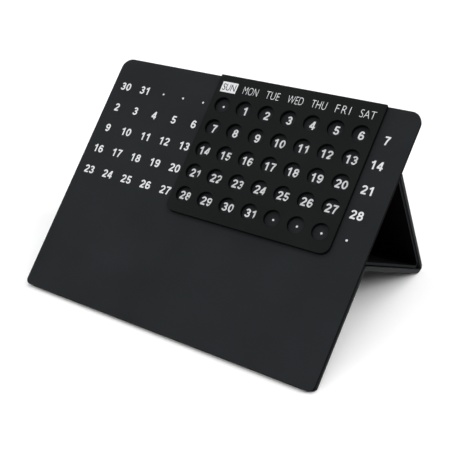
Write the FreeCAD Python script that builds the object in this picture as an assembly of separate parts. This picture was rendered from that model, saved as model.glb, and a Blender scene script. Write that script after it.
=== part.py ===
import FreeCAD, Part
import math
import os

from FreeCAD import Placement, Rotation, Vector

# Desk calendar: a leaning plate printed with a grid of days, a sliding window that is hung
# over its top edge, and a hollow stand behind it that holds a pull-out tray.
# Millimetres. X is to the right, Y to the back, Z up, and the floor is at zero height.

# The plate. Its lean is measured from the vertical.
plate_width = 200.0
plate_height = 160.0
plate_thickness = 2.5
plate_top_radius = 6.8
plate_bottom_radius = 3.4
plate_edge_radius = 0.35
lean_angle = 44.0

# The printed grid of days, which the window's holes have to meet.
column_pitch = 14.7
row_pitch = 14.7
first_column_inset = 9.9
first_row_drop = 19.3
window_columns = 7
window_rows = 5
rest_column = 5

# The sliding window, its holes and its gap to the plate.
window_thickness = 2.4
window_gap = 0.5
window_side_margin = 8.5
window_bottom_margin = 11.7
window_top_drop = 0.2
window_corner_radius = 5.5
window_top_corner_radius = 0.6
window_edge_radius = 0.3
hole_diameter = 9.8
hole_rim_radius = 0.25

# The thin bent hook that carries the window on the plate's top edge.
hook_sheet = 0.6
hook_front_leg = 11.0
hook_back_leg = 14.0
hook_top_gap = 0.3
hook_back_gap = 0.4
hook_bend_radius = 0.3
hook_side_inset = 1.2
hook_rebate_clearance = 0.3

# Felt that the window runs on: strips behind its side margins, and one in the hook.
felt_thickness = 0.4
felt_strip_width = 2.4
felt_strip_length = 62.0
felt_side_inset = 0.6
felt_bottom_inset = 8.0
hook_felt_thickness = 0.3
hook_felt_width = 9.0
hook_felt_end_inset = 3.0
hook_felt_lip_inset = 1.5

# The stand is one profile: a flange, a strut and a leg whose end is bonded to the plate's back,
# below its top by the drop. The strut leaves the plate below the leg by the base.
# Its tip is set by how far it reaches behind the plate's lower edge and how deep the floor cuts it.
stand_wall = 2.5
bond_gap = 0.9
leg_drop = 34.0
leg_bond_gap = 0.3
stand_base = 55.7
stand_reach = 160.1
tip_bend_radius = 0.7
tip_floor_cut = 0.44
floor_cut = 1.0
strut_bend_radius = 2.5
stand_end_radius = 0.4
stand_edge_radius = 0.3

# Bonding tape between the flange and the plate, and between the leg's end and the plate.
tape_width = 12.0
tape_end_inset = 5.0
tape_bottom_inset = 7.0
tape_top_inset = 10.3

# Rubber under the two edges that stand on the table. The front one ends at the flange's
# rounded corners.
grip_height = 1.2
front_grip_inset = plate_bottom_radius
rear_grip_inset = 0.5

# The tray that slides in the stand, with its front panel, inner wall and running gap. The
# panel's finger hole is a share of the largest circle that fits in the panel.
tray_gap = 0.9
tray_wall = 1.4
tray_corner_radius = 1.1
tray_edge_radius = 0.3
tray_plate_clearance = 1.5
tray_right_inset = 0.5
tray_travel = 140.0
panel_thickness = 3.0
panel_gap = 0.6
panel_corner_radius = 1.5
finger_hole_share = 0.45
finger_hole_edge_radius = 0.6
inner_wall_thickness = 2.0
inner_wall_position = 40.0
inner_wall_plate_clearance = 13.0
inner_wall_corner_radius = 3.0

# Slippery strips that the tray runs on, on the strut and under the leg. The insets are those
# of the first and the second strip from the two ends of the wall that carries them.
strip_thickness = 0.8
strip_width = 10.0
strip_end_inset = 5.0
strut_strip_insets = (13.2, 27.9)
leg_strip_insets = (10.9, 37.6)

# The stop block under the leg, the notch that it stands in, and its screw.
stop_length = 8.0
stop_height = 5.0
stop_thickness = 3.2
stop_end_inset = 10.0
stop_side_clearance = 0.4
notch_depth = 7.5
screw_diameter = 3.0
screw_head_diameter = 5.6
screw_recess = 0.2
screw_fit_gap = 0.05
screw_slot_width = 0.8
screw_slot_depth = 0.7
screw_tip_cover = 0.6
screw_head_depth = (screw_head_diameter - screw_diameter) / 2

# One overrun serves all cuts, and one small length tells whether two levels are the same.
overrun = 2.0
same_level = 0.001

lean = math.radians(lean_angle)
up_the_plate = Vector(0, math.sin(lean), math.cos(lean))
behind_the_plate = Vector(0, math.cos(lean), -math.sin(lean))
half_width = plate_width / 2
flange_front = plate_thickness + bond_gap
flange_back = flange_front + stand_wall
leg_end_depth = plate_thickness + leg_bond_gap
tip_radius = tip_bend_radius + stand_wall
leg_height = plate_height - leg_drop
strut_height = leg_height - stand_base

# The flange's lowest corner is cut flat by the floor, which lifts the plate this much.
plate_rise = flange_back * math.sin(lean) - floor_cut


def section(height, depth):
    """A point of the side view: height up the plate, depth behind its face."""
    return Vector(0, 0, plate_rise) + up_the_plate * height + behind_the_plate * depth


def meet(line_a, line_b):
    """Where two lines of the side view cross; a line is a point and a direction."""
    (pa, da), (pb, db) = line_a, line_b
    gap = pb - pa
    share = (gap.y * db.z - gap.z * db.y) / (da.y * db.z - da.z * db.y)
    return pa + da * share


def shifted(line, distance):
    """The line moved to the left of its own direction."""
    point, direction = line
    return (point + Vector(0, -direction.z, direction.y) * distance, direction)


def past_tip(reach, side):
    """The direction of a line that touches the tip's round, from its reach to or from the centre."""
    angle = math.atan2(reach.z, reach.y) + side * math.asin(tip_radius / reach.Length)
    return Vector(0, math.cos(angle), math.sin(angle))


def rounded_outline(points, radii):
    """A closed wire through the points, with each corner rounded by its radius."""
    corners = []
    count = len(points)
    for index, (point, radius) in enumerate(zip(points, radii)):
        if not radius:
            corners.append((point, None, point))
            continue
        before = (points[index - 1] - point).normalize()
        after = (points[(index + 1) % count] - point).normalize()
        half = before.getAngle(after) / 2
        reach = radius / math.tan(half)
        middle = (before + after).normalize() * (radius / math.sin(half) - radius)
        corners.append((point + before * reach, point + middle, point + after * reach))
    edges = []
    for index, (start, middle, end) in enumerate(corners):
        if middle:
            edges.append(Part.Arc(start, middle, end).toShape())
        following = corners[(index + 1) % count][0]
        edges.append(Part.LineSegment(end, following).toShape())
    return Part.Wire(edges)


def along_x(wire, start, length):
    """The solid that a side-view wire makes when it is drawn out along X."""
    face = Part.Face(wire)
    face.translate(Vector(start, 0, 0))
    return face.extrude(Vector(length, 0, 0))


def laid_back(shape):
    """Turns a shape from the plate's own frame (across, up, out of its face) into the side view's."""
    turn = Rotation(Vector(1, 0, 0), 90 - lean_angle)
    shape.Placement = Placement(Vector(0, 0, plate_rise), turn)
    return shape


def on_plate(shape):
    """Moves a shape from the plate's own frame to its place in the whole object."""
    return middled(laid_back(shape))


def rounded_slab(left, right, bottom, top, back, thickness, bottom_radius, top_radius):
    """A slab in the plate's own frame, with rounded corners in its outline."""
    points = [Vector(left, bottom, back), Vector(right, bottom, back),
              Vector(right, top, back), Vector(left, top, back)]
    wire = rounded_outline(points, [bottom_radius, bottom_radius, top_radius, top_radius])
    return Part.Face(wire).extrude(Vector(0, 0, thickness))


def block(left, bottom, back, width, height, thickness):
    """A plain block in the plate's own frame."""
    return Part.makeBox(width, height, thickness, Vector(left, bottom, back))


def edges_at(shape, level):
    """The edges that lie wholly at one level above the plate's face."""
    return [edge for edge in shape.Edges
            if abs(edge.BoundBox.ZMin - level) < same_level
            and abs(edge.BoundBox.ZMax - level) < same_level]


# Lines of the side view, each running the way the profile's outside is followed. The strut and
# the leg both touch the tip's round, and their outsides meet beyond it.
flange_back_line = (section(0, flange_back), up_the_plate)
flange_front_line = (section(0, flange_front), up_the_plate)
leg_end_line = (section(0, leg_end_depth), up_the_plate)
tray_front_line = (section(0, plate_thickness + tray_plate_clearance), up_the_plate)
strut_start = section(strut_height, flange_back)
leg_end = section(leg_height, leg_end_depth)
tip_centre = Vector(0, stand_reach - tip_radius, tip_radius - tip_floor_cut)
strut_direction = past_tip(tip_centre - strut_start, -1)
leg_direction = past_tip(leg_end - tip_centre, 1)
apex = meet((strut_start, strut_direction), (leg_end, leg_direction))
strut_line = (strut_start, strut_direction)
leg_line = (apex, leg_direction)
strut_inner_line = shifted(strut_line, stand_wall)
leg_inner_line = shifted(leg_line, stand_wall)
strut_clear = meet(strut_inner_line, flange_back_line)
leg_inside = meet(leg_inner_line, leg_end_line)
apex_inside = meet(strut_inner_line, leg_inner_line)

leg_normal = Vector(0, -leg_direction.z, leg_direction.y)

front_reach = plate_edge_radius * (math.sin(lean) + math.cos(lean) - 1)
depth_middle = (stand_reach + front_reach) / 2
to_middle = Vector(0, -depth_middle, 0)


def middled(shape):
    """Shifts a shape of the side view so that the object stands over its own middle."""
    shape.translate(to_middle)
    return shape


def make_front_plate():
    """The printed plate, a flat slab with softened edges."""
    slab = rounded_slab(-half_width, half_width, 0, plate_height, -plate_thickness,
                        plate_thickness, plate_bottom_radius, plate_top_radius)
    rims = edges_at(slab, 0) + edges_at(slab, -plate_thickness)
    return on_plate(slab.makeFillet(plate_edge_radius, rims))


def stand_profile():
    """The whole side view of the stand, before its two standing edges are cut."""
    strut_inside = meet(strut_inner_line, flange_front_line)
    points = [section(0, flange_back), strut_start, apex, leg_end, leg_inside, apex_inside,
              strut_inside, section(0, flange_front)]
    radii = [0, strut_bend_radius, tip_radius, stand_end_radius, stand_end_radius,
             tip_bend_radius, strut_bend_radius + stand_wall, 0]
    return rounded_outline(points, radii)


def height_band(low, high, start, length):
    """A block between two heights, as deep as the whole object, for splitting the profile."""
    return Part.makeBox(length, stand_reach + overrun * 2, high - low,
                        Vector(start, -overrun, low))


def screw_axis():
    """The stop screw's line: a point on the leg's outside, and the way into the block."""
    top = meet(shifted(leg_inner_line, tray_gap + tray_wall), tray_front_line)
    along = (top - leg_line[0]).dot(leg_direction) - notch_depth + stop_side_clearance
    middle = leg_line[0] + leg_direction * (along + stop_height / 2)
    across = -half_width + stop_end_inset + stop_length / 2
    return Vector(across, middle.y, middle.z), leg_normal


def behind_plate_outline():
    """All that lies behind the plate's outline, which rounds the flange's lower corners."""
    depth = stand_reach + overrun
    slab = rounded_slab(-half_width, half_width, 0, plate_height + overrun, -depth, depth,
                        plate_bottom_radius, plate_top_radius)
    return laid_back(slab)


def make_stand_shell():
    """The hollow stand: flange, strut and leg in one bent profile."""
    whole = along_x(stand_profile(), -half_width, plate_width)
    whole = whole.common(behind_plate_outline())
    end_rims = [edge for edge in whole.Edges if edge.BoundBox.XLength < same_level]
    whole = whole.makeFillet(stand_edge_radius, end_rims)
    keep = height_band(grip_height, plate_height + overrun, -half_width - overrun,
                       plate_width + overrun * 2)
    shell = whole.common(keep)
    start, inward = screw_axis()
    bore = Part.makeCylinder(screw_diameter / 2 + screw_fit_gap, stand_wall + overrun * 2,
                             start - inward * overrun, inward)
    mouth_radius = screw_head_diameter / 2 + screw_fit_gap
    countersink = Part.makeCone(mouth_radius, screw_diameter / 2 + screw_fit_gap, screw_head_depth,
                                start + inward * screw_recess, inward)
    mouth = Part.makeCylinder(mouth_radius, screw_recess + overrun,
                              start - inward * overrun, inward)
    shell = shell.cut(bore).cut(countersink).cut(mouth)
    return middled(shell)


def make_grip_strip(front):
    """The rubber that finishes one standing edge of the profile, flat where it stands."""
    inset = front_grip_inset if front else rear_grip_inset
    whole = along_x(stand_profile(), -half_width + inset, plate_width - inset * 2)
    low = whole.common(height_band(0, grip_height, -half_width, plate_width))
    parts = sorted(low.Solids, key=lambda solid: solid.CenterOfMass.y)
    return middled(parts[0] if front else parts[-1])


def make_tape(height, width, gap):
    """A bonding tape that fills a gap behind the plate."""
    length = plate_width - tape_end_inset * 2
    return on_plate(block(-half_width + tape_end_inset, height, -plate_thickness - gap,
                          length, width, gap))


def make_lower_tapes():
    """The tapes between the plate's back and the flange."""
    heights = (tape_bottom_inset, strut_height - tape_top_inset - tape_width)
    return Part.makeCompound([make_tape(height, tape_width, bond_gap) for height in heights])


def make_upper_tape():
    """The thin tape on the flat of the leg's end, between its two softened edges."""
    bottom = (leg_inside - section(0, 0)).dot(up_the_plate) + stand_end_radius
    return make_tape(bottom, leg_height - stand_end_radius - bottom, leg_bond_gap)


def make_running_strips(start, end, insets):
    """Slippery strips on a wall's inside, one near its start and one near its end."""
    direction = (end - start).normalize()
    inward = Vector(0, -direction.z, direction.y)
    first = start + direction * insets[0]
    second = end - direction * (insets[1] + strip_width)
    strips = []
    for corner in (first, second):
        points = [corner, corner + direction * strip_width,
                  corner + direction * strip_width + inward * strip_thickness,
                  corner + inward * strip_thickness]
        wire = rounded_outline(points, [0, 0, 0, 0])
        left = -half_width + strip_end_inset
        strips.append(middled(along_x(wire, left, plate_width - strip_end_inset * 2)))
    return Part.makeCompound(strips)


def tray_outline():
    """The tray's side view: a bottom along the strut and a back wall under the leg."""
    bottom = shifted(strut_inner_line, tray_gap)
    bottom_top = shifted(bottom, tray_wall)
    back = shifted(leg_inner_line, tray_gap)
    back_inside = shifted(back, tray_wall)
    points = [meet(bottom, tray_front_line), meet(bottom, back), meet(back, tray_front_line),
              meet(back_inside, tray_front_line), meet(bottom_top, back_inside),
              meet(bottom_top, tray_front_line)]
    radii = [tray_edge_radius, tray_corner_radius + tray_wall, tray_edge_radius,
             tray_edge_radius, tray_corner_radius, tray_edge_radius]
    return rounded_outline(points, radii)


def make_drawer_tray():
    """The sliding tray, with the long notch that runs past the stop block."""
    left = -half_width + panel_thickness
    length = plate_width - panel_thickness - tray_right_inset
    tray = along_x(tray_outline(), left, length)
    start, inward = screw_axis()
    notch_left = -half_width + stop_end_inset - stop_side_clearance
    notch_length = stop_length + tray_travel + stop_side_clearance * 2
    along = (start - leg_line[0]).dot(leg_direction) - stop_height / 2 - stop_side_clearance
    corner = leg_line[0] + leg_direction * along + inward * stand_wall
    depth = tray_gap + tray_wall + overrun
    points = [corner, corner + leg_direction * (notch_depth + overrun),
              corner + leg_direction * (notch_depth + overrun) + inward * depth,
              corner + inward * depth]
    notch = along_x(rounded_outline(points, [0, 0, 0, 0]), notch_left, notch_length)
    return middled(tray.cut(notch))


def tray_space(front_clearance, gap):
    """Corners of the triangle inside the stand, kept clear of its walls and of the plate."""
    bottom = shifted(strut_inner_line, gap)
    back = shifted(leg_inner_line, gap)
    front = (section(0, plate_thickness + front_clearance), up_the_plate)
    return [meet(bottom, front), meet(bottom, back), meet(back, front)]


def inscribed_circle(corners):
    """The centre and radius of the circle that touches all three sides of a triangle."""
    first, second, third = corners
    sides = [(second - third).Length, (third - first).Length, (first - second).Length]
    weighted = first * sides[0] + second * sides[1] + third * sides[2]
    radius = (second - first).cross(third - first).Length / sum(sides)
    return weighted * (1 / sum(sides)), radius


def make_drawer_front():
    """The triangular panel that closes the stand's left end, with its finger hole."""
    points = tray_space(panel_gap, panel_gap)
    wire = rounded_outline(points, [panel_corner_radius] * len(points))
    panel = along_x(wire, -half_width, panel_thickness)
    middle, inscribed_radius = inscribed_circle(points)
    start = Vector(-half_width - overrun, middle.y, middle.z)
    hole = Part.makeCylinder(inscribed_radius * finger_hole_share, panel_thickness + overrun * 2,
                             start, Vector(1, 0, 0))
    panel = panel.cut(hole)
    rims = [edge for edge in panel.Edges
            if edge.isClosed() and edge.BoundBox.XLength < same_level]
    return middled(panel.makeFillet(finger_hole_edge_radius, rims))


def make_drawer_inner_wall():
    """The wall that ends the tray's closed compartment."""
    points = tray_space(inner_wall_plate_clearance, tray_gap + tray_wall)
    radii = [inner_wall_corner_radius, tray_corner_radius, inner_wall_corner_radius]
    wire = rounded_outline(points, radii)
    return middled(along_x(wire, inner_wall_position, inner_wall_thickness))


def make_stop_block():
    """The block that stands in the tray's notch, with the screw's thread hole."""
    start, inward = screw_axis()
    along = (start - leg_line[0]).dot(leg_direction) - stop_height / 2
    corner = leg_line[0] + leg_direction * along + inward * stand_wall
    points = [corner, corner + leg_direction * stop_height,
              corner + leg_direction * stop_height + inward * stop_thickness,
              corner + inward * stop_thickness]
    radii = [0, 0, tray_edge_radius, tray_edge_radius]
    body = along_x(rounded_outline(points, radii), -half_width + stop_end_inset, stop_length)
    bore = Part.makeCylinder(screw_diameter / 2 + screw_fit_gap,
                             stop_thickness - screw_tip_cover, start + inward * stand_wall, inward)
    return middled(body.cut(bore))


def make_stop_screw():
    """The countersunk screw that holds the stop block, with its slot."""
    start, inward = screw_axis()
    face = start + inward * screw_recess
    head = Part.makeCone(screw_head_diameter / 2, screw_diameter / 2, screw_head_depth, face, inward)
    length = stand_wall + stop_thickness - screw_tip_cover - screw_fit_gap - screw_recess
    shank = Part.makeCylinder(screw_diameter / 2, length, face, inward)
    slot = Part.makeBox(screw_head_diameter + overrun, screw_slot_width, screw_slot_depth + overrun)
    slot.translate(Vector(-(screw_head_diameter + overrun) / 2, -screw_slot_width / 2, -overrun))
    slot.Placement = Placement(face, Rotation(Vector(0, 0, 1), inward)).multiply(slot.Placement)
    return middled(head.fuse(shank).cut(slot))


def column_place(column):
    """How far a column of the grid lies from the plate's middle."""
    return -half_width + first_column_inset + column_pitch * column


window_left = column_place(rest_column) - window_side_margin
window_right = column_place(rest_column + window_columns - 1) + window_side_margin
window_back = window_gap
window_front = window_gap + window_thickness
window_top = plate_height - window_top_drop
window_bottom = plate_height - first_row_drop - row_pitch * (window_rows - 1) - window_bottom_margin
hook_left = window_left + hook_side_inset
hook_width = window_right - window_left - hook_side_inset * 2


def make_date_window():
    """The sliding window: a slab with five rows of seven round holes."""
    slab = rounded_slab(window_left, window_right, window_bottom, window_top, window_back,
                        window_thickness, window_corner_radius, window_top_corner_radius)
    for row in range(window_rows):
        for column in range(window_columns):
            centre = Vector(column_place(rest_column + column),
                            plate_height - first_row_drop - row_pitch * row,
                            window_back - overrun)
            hole = Part.makeCylinder(hole_diameter / 2, window_thickness + overrun * 2, centre)
            slab = slab.cut(hole)
    rebate_bottom = plate_height - hook_front_leg
    rebate = block(hook_left - hook_rebate_clearance, rebate_bottom, window_back - overrun,
                   hook_width + hook_rebate_clearance * 2, window_top - rebate_bottom + overrun,
                   hook_sheet + overrun)
    rims = [edge for edge in edges_at(slab, window_front) if edge.isClosed()]
    slab = slab.makeFillet(hole_rim_radius, rims)
    border = [edge for edge in edges_at(slab, window_front) if not edge.isClosed()]
    slab = slab.makeFillet(window_edge_radius, border)
    return on_plate(slab.cut(rebate))


def hook_outline():
    """The hook's own side view in the plate's frame, as height and place along its normal."""
    inner_top = plate_height + hook_top_gap
    inner_back = -plate_thickness - hook_back_gap
    outer_back = inner_back - hook_sheet
    inner_front = window_back
    outer_front = window_back + hook_sheet
    lip = plate_height - hook_back_leg
    foot = plate_height - hook_front_leg
    points = [Vector(hook_left, foot, outer_front),
              Vector(hook_left, inner_top + hook_sheet, outer_front),
              Vector(hook_left, inner_top + hook_sheet, outer_back),
              Vector(hook_left, lip, outer_back), Vector(hook_left, lip, inner_back),
              Vector(hook_left, inner_top, inner_back), Vector(hook_left, inner_top, inner_front),
              Vector(hook_left, foot, inner_front)]
    bend = hook_bend_radius + hook_sheet
    return rounded_outline(points, [0, bend, bend, 0, 0, hook_bend_radius, hook_bend_radius, 0])


def make_window_hook():
    """The thin bent sheet over the plate's top edge."""
    hook = Part.Face(hook_outline()).extrude(Vector(hook_width, 0, 0))
    return on_plate(hook)


def make_window_felts():
    """Felt strips behind the window's side margins."""
    bottom = window_bottom + felt_bottom_inset
    places = (window_left + felt_side_inset, window_right - felt_side_inset - felt_strip_width)
    felts = [on_plate(block(left, bottom, window_back - felt_thickness, felt_strip_width,
                            felt_strip_length, felt_thickness)) for left in places]
    return Part.makeCompound(felts)


def make_hook_felt():
    """The felt in the hook's lip, against the plate's back."""
    left = hook_left + hook_felt_end_inset
    width = hook_width - hook_felt_end_inset * 2
    bottom = plate_height - hook_back_leg + hook_felt_lip_inset
    felt = block(left, bottom, -plate_thickness - hook_back_gap, width, hook_felt_width,
                 hook_felt_thickness)
    return on_plate(felt)


parts = {
    "front_plate": make_front_plate(),
    "stand_shell": make_stand_shell(),
    "front_grip_strip": make_grip_strip(True),
    "rear_grip_strip": make_grip_strip(False),
    "lower_bond_tapes": make_lower_tapes(),
    "upper_bond_tape": make_upper_tape(),
    "strut_runner_strips": make_running_strips(strut_clear, apex_inside, strut_strip_insets),
    "leg_guide_strips": make_running_strips(apex_inside, leg_inside, leg_strip_insets),
    "drawer_stop_block": make_stop_block(),
    "drawer_stop_screw": make_stop_screw(),
    "drawer_tray": make_drawer_tray(),
    "drawer_front": make_drawer_front(),
    "drawer_inner_wall": make_drawer_inner_wall(),
    "date_window": make_date_window(),
    "window_hook": make_window_hook(),
    "window_felt_strips": make_window_felts(),
    "hook_felt_strip": make_hook_felt(),
}

os.makedirs("parts", exist_ok=True)
for name, shape in parts.items():
    shape.exportStep(f"parts/{name}.step")
    box = shape.BoundBox
    print(f"{name}: {len(shape.Solids)} solid(s), valid {shape.isValid()}, "
          f"volume {shape.Volume / 1000:.2f} cm3, "
          f"x {box.XMin:.2f} to {box.XMax:.2f}, y {box.YMin:.2f} to {box.YMax:.2f}, "
          f"z {box.ZMin:.2f} to {box.ZMax:.2f}")
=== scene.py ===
# %% [markdown]
# A perpetual desk calendar: a leaning plate printed with dates, a window with round holes that
# slides along its top edge, and a hollow stand with a pull-out tray. Their solids come from the
# frame with their real shapes. Left for Blender is what a solid can't hold: the printing, the
# finish of each black surface, and the light that tells them apart.

import math

import bmesh
import bpy
from mathutils import Matrix, Vector


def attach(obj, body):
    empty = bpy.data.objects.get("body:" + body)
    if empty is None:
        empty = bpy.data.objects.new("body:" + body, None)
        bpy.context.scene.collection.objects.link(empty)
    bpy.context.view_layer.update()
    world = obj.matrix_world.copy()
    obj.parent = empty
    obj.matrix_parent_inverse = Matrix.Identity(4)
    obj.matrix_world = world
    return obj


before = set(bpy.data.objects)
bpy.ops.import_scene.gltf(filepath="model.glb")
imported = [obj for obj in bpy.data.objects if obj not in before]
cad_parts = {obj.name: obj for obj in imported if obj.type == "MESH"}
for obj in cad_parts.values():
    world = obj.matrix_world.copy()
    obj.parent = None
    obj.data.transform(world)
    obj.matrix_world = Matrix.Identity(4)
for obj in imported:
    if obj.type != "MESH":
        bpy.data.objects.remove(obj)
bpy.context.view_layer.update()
MM = 0.001

# %% [markdown]
# The plate leans back, and the window and all the printing lie parallel to it. Each piece could be
# turned by hand until it looks right. It is easier, and exact, to place everything in the plate's
# own directions, across, up and out of its face, and to turn it afterwards with one matrix. The
# plate's mesh gives the matrix its origin: the bottom left corner, on the level of the face.

# %% The plate's own directions
lean = math.radians(44.0)
across = Vector((1, 0, 0))
up_plate = Vector((0, math.sin(lean), math.cos(lean)))
out_plate = Vector((0, -math.cos(lean), math.sin(lean)))


def levels(name, direction):
    """The lowest and highest place of a solid along a direction."""
    places = [vertex.co.dot(direction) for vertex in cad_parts[name].data.vertices]
    return min(places), max(places)


plate_left, plate_right = levels("front_plate", across)
plate_bottom, plate_top = levels("front_plate", up_plate)
plate_face = levels("front_plate", out_plate)[1]
window_face = levels("date_window", out_plate)[1]
plate_corner = across * plate_left + up_plate * plate_bottom + out_plate * plate_face
plate_height = plate_top - plate_bottom
plate_turn = Matrix((across, up_plate, out_plate)).transposed().to_4x4()
on_plate = Matrix.Translation(plate_corner) @ plate_turn
print("plate", round((plate_right - plate_left) / MM, 2), "by", round(plate_height / MM, 2), "mm")
print("window stands", round((window_face - plate_face) / MM, 2), "mm proud of the plate")

# %% [markdown]
# A finish is a small network of nodes. They could be joined by hand in the shader editor, but a
# script repeats them without a slip. One helper adds a node and fills in its values, and another
# gives the place on a surface in millimetres, so that every grain below has its real size.

# %% Nodes and millimetres


def node(tree, kind, **values):
    """Adds a node and sets its properties and its unlinked inputs by name."""
    made = tree.nodes.new(kind)
    for name, value in values.items():
        if hasattr(made, name):
            setattr(made, name, value)
        else:
            made.inputs[name.replace("_", " ")].default_value = value
    return made


def in_millimetres(tree):
    """Object coordinates, counted in millimetres."""
    place = node(tree, "ShaderNodeTexCoord")
    scaled = node(tree, "ShaderNodeMapping")
    scaled.inputs["Scale"].default_value = [1 / MM] * 3
    tree.links.new(place.outputs["Object"], scaled.inputs["Vector"])
    return scaled.outputs["Vector"]


print("one scene unit is", round(1 / MM), "mm")

# %% [markdown]
# No moulded, painted or printed surface is even: a fine grain scatters the light, and the colour
# drifts slowly from place to place. Pictures of real surfaces could bring that in, but they need
# files and unwrapping. Noise needs neither, and a range turns its greys into a roughness or a
# brightness.

# %% Grain from noise
noise_low = 0.3
noise_high = 0.7


def noise(tree, place, size, detail=2.0, stretch=(1, 1, 1)):
    """Noise whose lumps are about size millimetres across."""
    if stretch != (1, 1, 1):
        drawn_out = node(tree, "ShaderNodeMapping")
        drawn_out.inputs["Scale"].default_value = stretch
        tree.links.new(place, drawn_out.inputs["Vector"])
        place = drawn_out.outputs["Vector"]
    lumps = node(tree, "ShaderNodeTexNoise", Scale=1 / size, Detail=detail)
    tree.links.new(place, lumps.inputs["Vector"])
    return lumps.outputs["Factor" if "Factor" in lumps.outputs else "Fac"]


def spread(tree, value, low, high, start=noise_low, end=noise_high):
    """Maps a value, most often noise, onto a range."""
    scale = node(tree, "ShaderNodeMapRange", From_Min=start, From_Max=end, To_Min=low, To_Max=high)
    tree.links.new(value, scale.inputs["Value"])
    return scale.outputs["Result"]


print("noise is read between", noise_low, "and", noise_high)

# %% [markdown]
# A cut sheet shows two finishes: its face, and the edges that the cutter left. The solid's
# triangles could be sorted into two materials, but the direction in which a surface looks, its
# normal, already tells a face from an edge. So one material blends two colours by it, and on the
# plate and the window the edge colour is a painted shade. Where only the sign counts, the same
# trick tells the inside of the tray from its outside, and paints shade inside it.

# %% Face or edge
edge_until = 0.55
face_from = 0.85
side_change = 0.1


def facing_share(tree, direction, one_sided):
    """How far a surface looks along a direction: 1 along it and 0 across it, or, where only one
    side counts, 1 on that side, 0 on the other and a half on the edges between them."""
    looks = node(tree, "ShaderNodeTexCoord")
    share = node(tree, "ShaderNodeVectorMath", operation="DOT_PRODUCT")
    share.inputs[1].default_value = direction
    tree.links.new(looks.outputs["Normal"], share.inputs[0])
    if one_sided:
        return spread(tree, share.outputs["Value"], 0, 1, -side_change, side_change)
    size = node(tree, "ShaderNodeMath", operation="ABSOLUTE")
    tree.links.new(share.outputs["Value"], size.inputs[0])
    return spread(tree, size.outputs["Value"], 0, 1, edge_until, face_from)


def blend(tree, share, none, full):
    """A colour that runs from none's to full's as the share runs from 0 to 1."""
    mix = node(tree, "ShaderNodeMix", data_type="RGBA")
    colours = [socket for socket in mix.inputs if socket.type == "RGBA"]
    colours[0].default_value = (*none, 1)
    colours[1].default_value = (*full, 1)
    tree.links.new(share, mix.inputs["Factor"])
    return [socket for socket in mix.outputs if socket.type == "RGBA"][0]


print("an edge turns into a face between", edge_until, "and", face_from)

# %% [markdown]
# Every surface of the calendar is nearly black, so colour hardly tells the pieces apart. What does
# is how rough each one is, how strongly it reflects, and the fine relief that scatters its
# highlights. Each material could have its own network, but a sheet's skin, rubber and felt differ
# only in numbers. One recipe builds them all.

# %% One recipe for all finishes
rough_drift = 0.03
cloud_detail = 4.0


def finish(name, colour, rough, grain, depth, cloud=35.0, vary=0.12, specular=0.3, detail=3.0,
           metallic=0.0, sheen=0.0, stretch=(1, 1, 1), facing=None, facing_colour=None,
           turned_rough=0.0, one_sided=False):
    """A finish with a grain of that size and depth in millimetres, and a slow drift of colour.
    With a facing direction, what looks along it has the facing colour, and what is turned away
    has the colour and is rougher by turned_rough."""
    material = bpy.data.materials.new(name)
    material.use_nodes = True
    tree = material.node_tree
    shader = tree.nodes["Principled BSDF"]
    place = in_millimetres(tree)
    fine = noise(tree, place, grain, detail, stretch)
    slow = noise(tree, place, cloud, cloud_detail)
    tinted = node(tree, "ShaderNodeVectorMath", operation="SCALE")
    tree.links.new(spread(tree, slow, 1 - vary, 1 + vary), tinted.inputs["Scale"])
    tree.links.new(tinted.outputs["Vector"], shader.inputs["Base Color"])
    total = node(tree, "ShaderNodeMath", operation="ADD")
    tree.links.new(spread(tree, fine, rough[0], rough[1]), total.inputs[0])
    if facing:
        share = facing_share(tree, facing, one_sided)
        tree.links.new(blend(tree, share, colour, facing_colour), tinted.inputs[0])
        tree.links.new(spread(tree, share, turned_rough, 0, 0, 1), total.inputs[1])
    else:
        tinted.inputs[0].default_value = colour
        tree.links.new(spread(tree, slow, -rough_drift, rough_drift), total.inputs[1])
    tree.links.new(total.outputs["Value"], shader.inputs["Roughness"])
    relief = node(tree, "ShaderNodeBump", Strength=1.0, Distance=depth * MM)
    tree.links.new(fine, relief.inputs["Height"])
    tree.links.new(relief.outputs["Normal"], shader.inputs["Normal"])
    shader.inputs["Specular IOR Level"].default_value = specular
    shader.inputs["Metallic"].default_value = metallic
    shader.inputs["Sheen Weight"].default_value = sheen
    print("finish", name, "grain", grain, "mm")
    return material


# %% [markdown]
# The plate's face is a fine matte black with a little blue in it. The window is cut from a darker
# sheet, faintly green. Round their edges and in the holes, where the cutter went through, both are
# rougher, and their colour is a painted shade: a near black that draws the thin dark lines round
# them and the dark crescents in the holes. They could be two materials each, but the recipe's
# facing direction, out of the plate, gives both in one.

# %% The plate and the window
# painted shade: the near black of the plate's and window's edges and of the hole walls
edge_painted_shade = (0.0018, 0.0018, 0.0018)
plate_black = (0.0115, 0.0130, 0.0144)
window_black = (0.0065, 0.0077, 0.0074)
plate_skin = finish("plate_skin", edge_painted_shade, (0.50, 0.60), 0.35, 0.006, specular=0.04,
                    facing=out_plate, facing_colour=plate_black, turned_rough=0.5)
window_skin = finish("window_skin", edge_painted_shade, (0.56, 0.66), 0.30, 0.008, specular=0.03,
                     facing=out_plate, facing_colour=window_black, turned_rough=0.5)
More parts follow.
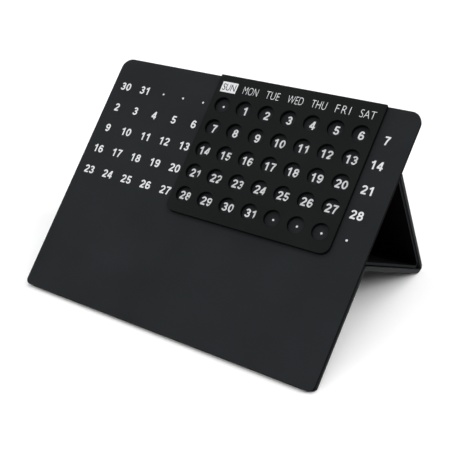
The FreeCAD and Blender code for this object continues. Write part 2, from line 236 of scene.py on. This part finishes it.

# %% [markdown]
# The stand, the tray and its panel are one charcoal. The sawn ends of the stand look sideways and
# are greyer and smoother than its skin, so its facing direction is across. The photograph shows
# hardly any light inside the tray, so its inside is painted a near black: painted shade. The
# photograph shows hardly any light inside the tray, so a black lining is guessed there. The tray's
# section is a V that opens towards the plate: its inner sides look a little into the opening and
# its outer sides a little away from it, so the sign along the opening tells the painted shade
# inside from the charcoal outside.

# %% The stand and the tray
charcoal = (0.0134, 0.0150, 0.0166)
sawn_grey = (0.0078, 0.0084, 0.0086)
# painted shade: the near black on the inside of the tray
inside_painted_shade = (0.0012, 0.0012, 0.0013)
into_tray = Vector((0, -0.77, 0.64))
stand_skin = finish("stand_skin", charcoal, (0.50, 0.62), 0.35, 0.008, specular=0.03,
                    facing=across, facing_colour=sawn_grey, turned_rough=0.4)
panel_skin = finish("panel_skin", charcoal, (0.50, 0.62), 0.35, 0.008, specular=0.03)
tray_skin = finish("tray_skin", charcoal, (0.60, 0.72), 0.40, 0.01, specular=0.015,
                   facing=into_tray, facing_colour=inside_painted_shade, turned_rough=0.2, one_sided=True)

# %% [markdown]
# The small parts are black as well, each of its own stuff: a powder-coated hook, dull rubber under
# the standing edges, foam tape, slippery running strips, felt and a blackened screw. One black
# would do from afar, but their shine differs, and felt's noise is stretched into fibres.

# %% The small parts
hook_skin = finish("hook_skin", (0.010, 0.0108, 0.0105), (0.48, 0.60), 0.45, 0.012, specular=0.3)
rubber_skin = finish("rubber_skin", (0.010, 0.010, 0.010), (0.75, 0.90), 0.6, 0.02, specular=0.2)
tape_skin = finish("tape_skin", (0.003, 0.003, 0.003), (0.80, 0.95), 0.25, 0.03, specular=0.03)
runner_skin = finish("runner_skin", (0.008, 0.008, 0.0085), (0.28, 0.40), 0.5, 0.004, specular=0.4)
felt_skin = finish("felt_skin", (0.008, 0.008, 0.008), (0.90, 1.0), 0.12, 0.06, sheen=0.3,
                   specular=0.05, stretch=(1, 0.35, 1))
screw_skin = finish("screw_skin", (0.02, 0.02, 0.021), (0.30, 0.42), 0.15, 0.002, metallic=0.9,
                    specular=0.5)

# %% [markdown]
# The printing is a thin layer of white ink, and one name is printed in black on a white box. A
# pure white would look pasted on. A real print is never quite even: the ink is a bit thinner here
# and there, so its colour drifts a little, and the black below takes the edge off its white.

# %% The inks
ink_rough = (0.45, 0.58)
ink_grain = 0.12
ink_relief = 0.002
ink_cloud = 4.0
white_ink = finish("white_ink", (0.545, 0.555, 0.562), ink_rough, ink_grain, ink_relief,
                   cloud=ink_cloud, vary=0.03)
black_ink = finish("black_ink", (0.02, 0.021, 0.022), ink_rough, ink_grain, ink_relief,
                   cloud=ink_cloud, vary=0.05)

# %% [markdown]
# Each solid now gets its finish. A solid's triangles are measured work and stay as they are. Only
# the material slot of its mesh is filled, from one table that reads like a parts list.

# %% Give the solids their finishes
finishes = {
    "front_plate": plate_skin,
    "stand_shell": stand_skin,
    "front_grip_strip": rubber_skin,
    "rear_grip_strip": rubber_skin,
    "lower_bond_tapes": tape_skin,
    "upper_bond_tape": tape_skin,
    "strut_runner_strips": runner_skin,
    "leg_guide_strips": runner_skin,
    "drawer_stop_block": runner_skin,
    "drawer_stop_screw": screw_skin,
    "drawer_tray": tray_skin,
    "drawer_front": panel_skin,
    "drawer_inner_wall": tray_skin,
    "date_window": window_skin,
    "window_hook": hook_skin,
    "window_felt_strips": felt_skin,
    "hook_felt_strip": felt_skin,
}
for name, material in finishes.items():
    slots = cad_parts[name].data.materials
    slots.clear()
    slots.append(material)
print("finished nodes:", len(finishes), "of", len(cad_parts))

# %% [markdown]
# The dates. Five rows of thirteen columns lie on one even grid, the same grid as the window's
# holes, so that the holes meet them wherever the window stands. They could be typed out, but a
# rule is shorter: each row starts seven days after the one above, and what falls before the first
# or after the last day is a dot. The first row also begins with a 30 and a 31, for the months whose
# last days would need a sixth row.

# %% The rows of dates
columns = 13
days_in_week = 7
last_day = 31
later_rows = 4
second_row_start = 2
date_rows = [["30", "31", "", "", "", ""] + [str(day) for day in range(1, days_in_week + 1)]]
for row in range(later_rows):
    start = second_row_start + row * days_in_week
    date_rows.append([str(day) if day <= last_day else "" for day in range(start, start + columns)])
for labels in date_rows:
    print(" ".join(label or "." for label in labels))

# %% [markdown]
# The places of the dates are measured from the plate's left and bottom edges, where the plate's
# matrix has its origin. They could be kept in a list of sixty-five places. Two small functions
# give the same from four measures, and the weekday names will use them too.

# %% The grid on the plate
column_pitch = 14.7 * MM
row_pitch = 14.7 * MM
first_column_inset = 9.9 * MM
first_row_drop = 19.3 * MM


def column_place(column):
    """How far a column lies from the plate's left edge."""
    return first_column_inset + column_pitch * column


def row_place(row):
    """How far a row lies above the plate's bottom edge."""
    return plate_height - first_row_drop - row_pitch * row


print("dates from", round(column_place(0) / MM, 1), "to", round(column_place(columns - 1) / MM, 1), "mm")

# %% [markdown]
# The real dates are in a heavy upright face with strokes of one width. Blender's own font is
# lighter and rounder. A sign maker would draw such digits as strokes, straight bars and arcs of
# ellipses, and so does this script: each digit is a few centre lines in a box as high as one.

# %% Centre lines
half_turn_steps = 10
fewest_steps = 2


def arc(centre, radii, start, end):
    """Points on an ellipse from one angle to another, in degrees."""
    steps = max(fewest_steps, round(abs(end - start) / 180 * half_turn_steps))
    angles = [math.radians(start + (end - start) * step / steps) for step in range(steps + 1)]
    return [Vector((centre[0] + radii[0] * math.cos(angle), centre[1] + radii[1] * math.sin(angle)))
            for angle in angles]


def bar(*corners):
    """A stroke's centre line through some corners."""
    return [Vector(corner) for corner in corners]


print("a full bowl has", len(arc((0, 0), (1, 1), 0, 360)) - 1, "corners")

# %% [markdown]
# Now the digits themselves, in the proportions that such faces have: bowls a little wider than
# they are high, and a lower bowl that is larger than the upper one. Each could have lines of its
# own, but a 9 is a 6 turned upside down, so its lines are only turned.

# %% The ten digits
digit_width = 0.67
bowl = ((0.335, 0.318), (0.243, 0.23))
tail = ((0.345, 0.5), (0.253, 0.413))
six = [arc(*bowl, 0, 360), arc(*tail, 38, 205)]
digit_strokes = {
    "0": [arc((0.335, 0.5), (0.243, 0.413), 0, 360)],
    "1": [bar((0.40, 0.0), (0.40, 1.0)), bar((0.40, 0.93), (0.27, 0.80), (0.09, 0.72))],
    "2": [arc((0.33, 0.69), (0.235, 0.223), 172, -38) + bar((0.17, 0.19), (0.12, 0.0875)),
          bar((0.05, 0.0875), (0.63, 0.0875))],
    "3": [arc((0.315, 0.715), (0.21, 0.198), 165, -90), arc((0.315, 0.302), (0.243, 0.215), 90, -165),
          bar((0.24, 0.517), (0.36, 0.517))],
    "4": [bar((0.45, 0.0), (0.45, 1.0)), bar((0.42, 0.93), (0.075, 0.34)), bar((0.0, 0.285), (0.65, 0.285))],
    "5": [bar((0.14, 0.912), (0.60, 0.912)), bar((0.20, 0.95), (0.135, 0.50)),
          arc((0.325, 0.322), (0.243, 0.235), 140, -165)],
    "6": six,
    "7": [bar((0.04, 0.912), (0.64, 0.912)), bar((0.56, 0.90), (0.37, 0.53), (0.25, 0.0))],
    "8": [arc((0.335, 0.715), (0.203, 0.198), 0, 360), arc((0.335, 0.302), (0.243, 0.215), 0, 360)],
    "9": [[Vector((digit_width, 1.0)) - place for place in stroke] for stroke in six],
}
stroke_count = sum(len(strokes) for strokes in digit_strokes.values())
print("digits drawn:", len(digit_strokes), "with", stroke_count, "strokes")

# %% [markdown]
# A centre line becomes a ribbon of ink. A curve with a bevel would give one too, but its corners
# pinch. Here a grid of quads, one column wide, is laid along the line with mitred corners, so the
# ribbon keeps its width, and a closed bowl is joined where it starts.

# %% Ribbons of ink
half_unit = 0.5
stroke_width = 0.185
same_place = 0.01
sharpest_mitre = 0.5


def ribbon(path, width):
    """A strip of quads along a centre line; a line that ends where it starts is closed."""
    closed = (path[0] - path[-1]).length < width * same_place
    count = len(path)
    strip = bmesh.new()
    made = bmesh.ops.create_grid(strip, x_segments=1, y_segments=count - 1, size=half_unit)
    rungs = sorted(made["verts"], key=lambda vertex: (round(vertex.co.y, 6), vertex.co.x))
    for index, place in enumerate(path):
        before = path[index] - path[index - 1] if index else None
        after = path[index + 1] - path[index] if index + 1 < count else None
        if closed and before is None:
            before = path[-1] - path[-2]
        if closed and after is None:
            after = path[1] - path[0]
        before = (before or after).normalized()
        after = (after or before).normalized()
        along = (before + after).normalized()
        side = Vector((along.y, -along.x)) * (width / 2 / max(along.dot(before), sharpest_mitre))
        rungs[2 * index].co = (*(place - side), 0)
        rungs[2 * index + 1].co = (*(place + side), 0)
    bmesh.ops.remove_doubles(strip, verts=strip.verts, dist=width * same_place)
    return strip


print("a stroke is", stroke_width, "of a digit's height wide")

# %% [markdown]
# A number is its digits' ribbons gathered side by side and centred on their ink, not on their
# boxes, because a 1 is narrow. Strokes that cross could be cut and joined. It is enough that they
# differ a hair in height, so that no two faces share one plane.

# %% Numbers from strokes
digit_advance = 0.775
stroke_step = 0.0004


def extent(vertices, axis):
    """The lowest and highest coordinate of some vertices on an axis."""
    places = [vertex.co[axis] for vertex in vertices]
    return min(places), max(places)


def gather(ink, shape, place):
    """Adds one bmesh to another at a place, and frees it."""
    shape.transform(place)
    mesh = bpy.data.meshes.new("gathered")
    shape.to_mesh(mesh)
    shape.free()
    ink.from_mesh(mesh)
    bpy.data.meshes.remove(mesh)


def number_outline(label):
    """A number's strokes at height one, centred on its ink."""
    drawn = bmesh.new()
    for place, digit in enumerate(label):
        for layer, stroke in enumerate(digit_strokes[digit]):
            gather(drawn, ribbon(stroke, stroke_width),
                   Matrix.Translation((place * digit_advance, 0, layer * stroke_step)))
    low, high = extent(drawn.verts, 0)
    drawn.transform(Matrix.Translation((-(low + high) / 2, -half_unit, 0)))
    return drawn


print("digits stand", digit_advance, "of their height apart")

# %% [markdown]
# All ink is made into pieces the same way. Flat shapes could be left as they are, or get a Solidify
# modifier. Extruding them at once gives every piece its real thin edge, and the matrix lays it on
# the plate. Each piece rides on the body that it is printed on, so the window takes its names along.

# %% Ink into pieces
ink_thickness = 0.02 * MM


def thicken(ink):
    """Gives flat ink its thickness and faces it outward."""
    raised = bmesh.ops.extrude_face_region(ink, geom=list(ink.faces), use_keep_orig=True)
    tops = [part for part in raised["geom"] if isinstance(part, bmesh.types.BMVert)]
    bmesh.ops.translate(ink, verts=tops, vec=(0, 0, ink_thickness))
    bmesh.ops.recalc_face_normals(ink, faces=ink.faces)


def make_piece(name, shape, material, body):
    """Turns a bmesh in the plate's directions into a piece that rides on a body."""
    shape.transform(on_plate)
    mesh = bpy.data.meshes.new(name)
    shape.to_mesh(mesh)
    shape.free()
    mesh.materials.append(material)
    piece = bpy.data.objects.new(name, mesh)
    bpy.context.scene.collection.objects.link(piece)
    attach(piece, body)
    print(name, "has", len(mesh.polygons), "faces")
    return piece


print("ink is", ink_thickness / MM, "mm thick")

# %% [markdown]
# The dates are printed on the plate in one go, as the printer does it: every number and dot goes
# into one mesh. Sixty-five separate pieces would do as well, but one is quicker to handle.

# %% Print the dates
digit_height = 5.1 * MM
dot_diameter = 1.3 * MM
dot_corners = 24

dates = bmesh.new()
for row, labels in enumerate(date_rows):
    for column, label in enumerate(labels):
        centre = Matrix.Translation((column_place(column), row_place(row), 0))
        if label:
            gather(dates, number_outline(label), centre @ Matrix.Scale(digit_height, 4))
        else:
            bmesh.ops.create_circle(dates, cap_ends=True, segments=dot_corners,
                                    radius=dot_diameter / 2, matrix=centre)
thicken(dates)
make_piece("printed_dates", dates, white_ink, "stand")

# %% [markdown]
# The weekday names stand above the window's columns in a narrow light face. They could be drawn as
# strokes too, but letters have many more shapes, and Blender's own font comes close. Each name is a
# text object turned into a mesh, which is then stretched to its measured width and height.

# %% Lettering
letter_resolution = 6


def lettering(words, weight, spacing):
    """A flat bmesh of some words at size one, by way of a text object."""
    curve = bpy.data.curves.new("words", "FONT")
    curve.body = words
    curve.offset = weight
    curve.space_character = spacing
    curve.resolution_u = letter_resolution
    helper = bpy.data.objects.new("words", curve)
    bpy.context.scene.collection.objects.link(helper)
    mesh = bpy.data.meshes.new_from_object(helper.evaluated_get(bpy.context.evaluated_depsgraph_get()))
    bpy.data.objects.remove(helper)
    bpy.data.curves.remove(curve)
    letters = bmesh.new()
    letters.from_mesh(mesh)
    bpy.data.meshes.remove(mesh)
    return letters


def name_outline(words, width, height, weight, spacing=1.0):
    """Words stretched to a width and a height, centred."""
    letters = lettering(words, weight, spacing)
    left, right = extent(letters.verts, 0)
    low, high = extent(letters.verts, 1)
    letters.transform(Matrix.Diagonal((width / (right - left), height / (high - low), 1, 1))
                      @ Matrix.Translation((-(left + right) / 2, -(low + high) / 2, 0)))
    return letters


print("letters are drawn with", letter_resolution, "steps to a curve")

# %% [markdown]
# Six of the names are white on the window's skin. One line of text could hold them all, but its
# spaces wouldn't meet the columns of holes. So each name is placed over its own column. The real
# ones are drawn to nearly equal widths, so each also has its own width here, and the one with the
# narrow last letter is spaced more.

# %% The weekday names
rest_column = 5
name_drop = 7.9 * MM
name_height = 4.8 * MM
name_weight = -0.014
name_widths = {"MON": 9.8, "TUE": 8.8, "WED": 9.8, "THU": 9.2, "FRI": 8.8, "SAT": 9.0}
name_spacings = {"FRI": 1.3}
face_step = window_face - plate_face
name_row = plate_height - name_drop

names = bmesh.new()
for number, (label, width) in enumerate(name_widths.items(), start=1):
    shape = name_outline(label, width * MM, name_height, name_weight, name_spacings.get(label, 1.0))
    gather(names, shape, Matrix.Translation((column_place(rest_column + number), name_row, face_step)))
thicken(names)
make_piece("weekday_names", names, white_ink, "window")

# %% [markdown]
# The first name is black on a white box. The printer leaves the letters out of the box. Cutting
# them out of the mesh would give the same look with many thin slivers, so the name is laid on top
# of the box instead, one layer of ink higher.

# %% The first weekday
box_width = 10.5 * MM
box_height = 6.65 * MM
box_letters_width = 8.6 * MM
box_letters_height = 4.4 * MM
box_letters_weight = 0.006

first_place = Matrix.Translation((column_place(rest_column), name_row, face_step))
box = bmesh.new()
bmesh.ops.create_grid(box, x_segments=1, y_segments=1, size=half_unit,
                      matrix=first_place @ Matrix.Diagonal((box_width, box_height, 1, 1)))
thicken(box)
make_piece("first_weekday_box", box, white_ink, "window")
first_name = bmesh.new()
gather(first_name, name_outline("SUN", box_letters_width, box_letters_height, box_letters_weight),
       first_place @ Matrix.Translation((0, 0, ink_thickness)))
thicken(first_name)
make_piece("first_weekday_name", first_name, black_ink, "window")

# %% [markdown]
# The stage is a wide pale floor, as a studio's paper roll, so wide that it fills the whole view. A
# brighter lamp would make it pure white, but would also grey the blacks. So the lamps light it to
# almost white, and what the camera and the reflections see of it, and of the world, is lifted the
# last bit, while the object gets only the plain light and the floor keeps its shadow.

# %% What is seen and what gives light


def where_seen(tree, hidden, shown):
    """A strength for what camera, glossy and transmission rays meet, and another for the rest."""
    rays = node(tree, "ShaderNodeLightPath")
    both = node(tree, "ShaderNodeMath", operation="MAXIMUM")
    tree.links.new(rays.outputs["Is Camera Ray"], both.inputs[0])
    tree.links.new(rays.outputs["Is Glossy Ray"], both.inputs[1])
    seen = node(tree, "ShaderNodeMath", operation="MAXIMUM")
    tree.links.new(both.outputs["Value"], seen.inputs[0])
    tree.links.new(rays.outputs["Is Transmission Ray"], seen.inputs[1])
    return spread(tree, seen.outputs["Value"], hidden, shown, 0, 1)


print("seen by: camera, glossy and transmission rays")

# %% [markdown]
# The floor is one flat square. A studio's paper also curves up behind the object, but this camera
# may look from any side. A flat floor of six metres fills its view from nearly all of them, and
# the white world goes on behind it. It is dull, so that the black pieces leave no reflections on it.

# %% The floor
floor_size = 6.0
floor_colour = 0.96
floor_rough = 0.9
floor_specular = 0.1
floor_lift = 0.008

floor_shape = bmesh.new()
bmesh.ops.create_grid(floor_shape, x_segments=1, y_segments=1, size=floor_size / 2)
floor_mesh = bpy.data.meshes.new("floor")
floor_shape.to_mesh(floor_mesh)
floor_shape.free()
floor = bpy.data.objects.new("floor", floor_mesh)
bpy.context.scene.collection.objects.link(floor)

floor_paint = bpy.data.materials.new("floor_paint")
floor_paint.use_nodes = True
floor_tree = floor_paint.node_tree
paint = floor_tree.nodes["Principled BSDF"]
paint.inputs["Base Color"].default_value = (floor_colour, floor_colour, floor_colour, 1)
paint.inputs["Roughness"].default_value = floor_rough
paint.inputs["Specular IOR Level"].default_value = floor_specular
paint.inputs["Emission Color"].default_value = (1, 1, 1, 1)
floor_tree.links.new(where_seen(floor_tree, 0, floor_lift), paint.inputs["Emission Strength"])
floor_mesh.materials.append(floor_paint)
print("floor", floor_size, "m wide")

# %% [markdown]
# The world stands for the studio's walls and ceiling. They could be modelled as a room of white
# boards, but from afar they are only an even glow. It lights the object weakly, and the camera and
# the reflections see it white.

# %% The world
world_strength = 0.05

world = bpy.data.worlds.new("studio")
bpy.context.scene.world = world
world.use_nodes = True
world_tree = world.node_tree
sky = world_tree.nodes["Background"]
sky.inputs["Color"].default_value = (1, 1, 1, 1)
world_tree.links.new(where_seen(world_tree, world_strength, 1), sky.inputs["Strength"])
print("world lights with", world_strength)

# %% [markdown]
# The lamps are suns with a wide angle. A softbox close by would light the floor unevenly, but a
# sun's light is the same everywhere, and the angle makes it as soft as a softbox. The key stands
# high at the right front. The side lamp stands low at the right, a bit behind, and lights the
# floor under the strut up to the deep shadow. The fill stands high in front, and the front lamp
# low, so that it reaches the floors of the window's holes. A weak one at the left keeps the floor
# pale there, and one almost overhead, behind, lights the back.

# %% Lamps


def lamp(name, azimuth, elevation, width, strength):
    """A soft far lamp; azimuth 0 is in front of the dates and grows to the right."""
    light = bpy.data.lights.new(name, "SUN")
    light.angle = math.radians(width)
    light.energy = strength
    holder = bpy.data.objects.new(name, light)
    bpy.context.scene.collection.objects.link(holder)
    turn = math.radians(azimuth)
    rise = math.radians(elevation)
    towards = Vector((math.sin(turn) * math.cos(rise), -math.cos(turn) * math.cos(rise),
                      math.sin(rise)))
    holder.rotation_euler = towards.to_track_quat("Z", "Y").to_euler()
    print("lamp", name, strength)


lamp("key", 54, 54, 44, 1.77)
lamp("side", 112, 25, 28, 1.45)
lamp("fill", -12, 66, 44, 0.52)
lamp("front", -5, 30, 50, 1.05)
lamp("left", -70, 35, 40, 0.55)
lamp("back", 180, 70, 28, 0.46)

# %% [markdown]
# A camera could be moved by eye until the picture fits. This one was found by calculation, by
# fitting the plate's corners, the stand's corners and the printed grid to the photograph, which is
# more exact. Its place is given in the frame, its aim by two angles, and its focal length and
# shift by pixels of the photograph's own frame of 452 pixels.

# %% Camera
frame_pixels = 452
camera_place = Vector((223.41, -378.31, 253.37)) * MM
camera_azimuth = math.radians(34.07)
camera_dip = math.radians(32.45)
focal_pixels = 786.2
centre_pixel = (185.3, 311.5)
sensor = 36.0

aim = Vector((-math.sin(camera_azimuth) * math.cos(camera_dip),
              math.cos(camera_azimuth) * math.cos(camera_dip), -math.sin(camera_dip)))
camera_data = bpy.data.cameras.new("camera")
camera_data.sensor_width = sensor
camera_data.lens = focal_pixels / frame_pixels * sensor
camera_data.shift_x = (frame_pixels / 2 - centre_pixel[0]) / frame_pixels
camera_data.shift_y = (centre_pixel[1] - frame_pixels / 2) / frame_pixels
camera = bpy.data.objects.new("camera", camera_data)
bpy.context.scene.collection.objects.link(camera)
camera.location = camera_place
camera.rotation_euler = aim.to_track_quat("-Z", "Y").to_euler()
bpy.context.scene.camera = camera
bpy.context.scene.view_settings.view_transform = "Standard"
print("lens", round(camera_data.lens, 1), "mm")
